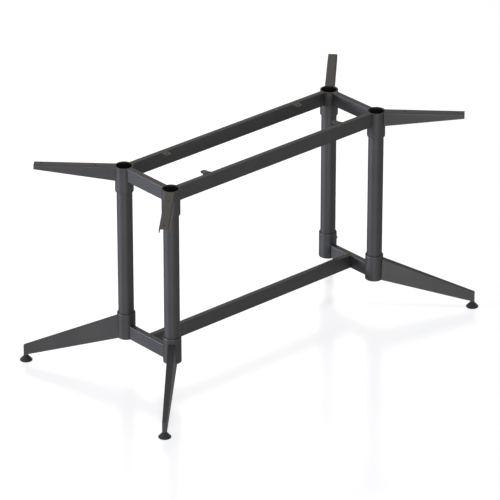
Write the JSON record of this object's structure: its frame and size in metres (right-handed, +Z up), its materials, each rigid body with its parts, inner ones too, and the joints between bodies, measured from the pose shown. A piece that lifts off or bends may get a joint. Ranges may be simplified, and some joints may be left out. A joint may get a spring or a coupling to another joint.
{
  "type": "table frame",
  "caption": "Metal table frame: round columns in sockets carry a box-rail top with folded channel arms, on a braced base with splayed tapered legs and levelling feet.",
  "frame": {"origin": "on the floor at the middle of the frame, between the feet", "axes": "+X along the long rails, +Y from the front to the back, +Z up"},
  "size_m": [1.3942, 0.7362, 0.71],
  "materials": {
    "coated_steel": "satin charcoal powder coat",
    "plated_steel": "dull zinc plate",
    "foot_plastic": "moulded charcoal plastic"
  },
  "bodies": {
    "frame": {"column_front_left": "coated_steel", "column_front_right": "coated_steel", "column_back_left": "coated_steel", "column_back_right": "coated_steel", "top_socket_front_left": "coated_steel", "top_socket_front_right": "coated_steel", "top_socket_back_left": "coated_steel", "top_socket_back_right": "coated_steel", "base_socket_front_left": "coated_steel", "base_socket_front_right": "coated_steel", "base_socket_back_left": "coated_steel", "base_socket_back_right": "coated_steel", "column_plugs": "plated_steel", "column_washers": "plated_steel", "column_bolts": "plated_steel", "top_rail_front": "coated_steel", "top_rail_back": "coated_steel", "top_cross_rail_left": "coated_steel", "top_cross_rail_right": "coated_steel", "base_cross_rail_left": "coated_steel", "base_cross_rail_right": "coated_steel", "base_stretcher": "coated_steel", "fixing_lug_front_left": "coated_steel", "fixing_lug_front_right": "coated_steel", "fixing_lug_back_left": "coated_steel", "fixing_lug_back_right": "coated_steel", "top_arm_front_left": "coated_steel", "top_arm_front_right": "coated_steel", "top_arm_back_left": "coated_steel", "top_arm_back_right": "coated_steel", "base_leg_front_left": "coated_steel", "base_leg_front_right": "coated_steel", "base_leg_back_left": "coated_steel", "base_leg_back_right": "coated_steel"},
    "foot_front_left": {"foot_pad_front_left": "foot_plastic", "foot_stud_front_left": "plated_steel"},
    "foot_front_right": {"foot_pad_front_right": "foot_plastic", "foot_stud_front_right": "plated_steel"},
    "foot_back_left": {"foot_pad_back_left": "foot_plastic", "foot_stud_back_left": "plated_steel"},
    "foot_back_right": {"foot_pad_back_right": "foot_plastic", "foot_stud_back_right": "plated_steel"}
  },
  "joints": [
    {"name": "foot_front_left_slide", "type": "slide", "parent": "frame", "child": "foot_front_left", "axis": [0, 0, -1], "range_m": [0, 0.012]},
    {"name": "foot_front_right_slide", "type": "slide", "parent": "frame", "child": "foot_front_right", "axis": [0, 0, -1], "range_m": [0, 0.012]},
    {"name": "foot_back_left_slide", "type": "slide", "parent": "frame", "child": "foot_back_left", "axis": [0, 0, -1], "range_m": [0, 0.012]},
    {"name": "foot_back_right_slide", "type": "slide", "parent": "frame", "child": "foot_back_right", "axis": [0, 0, -1], "range_m": [0, 0.012]}
  ]
}
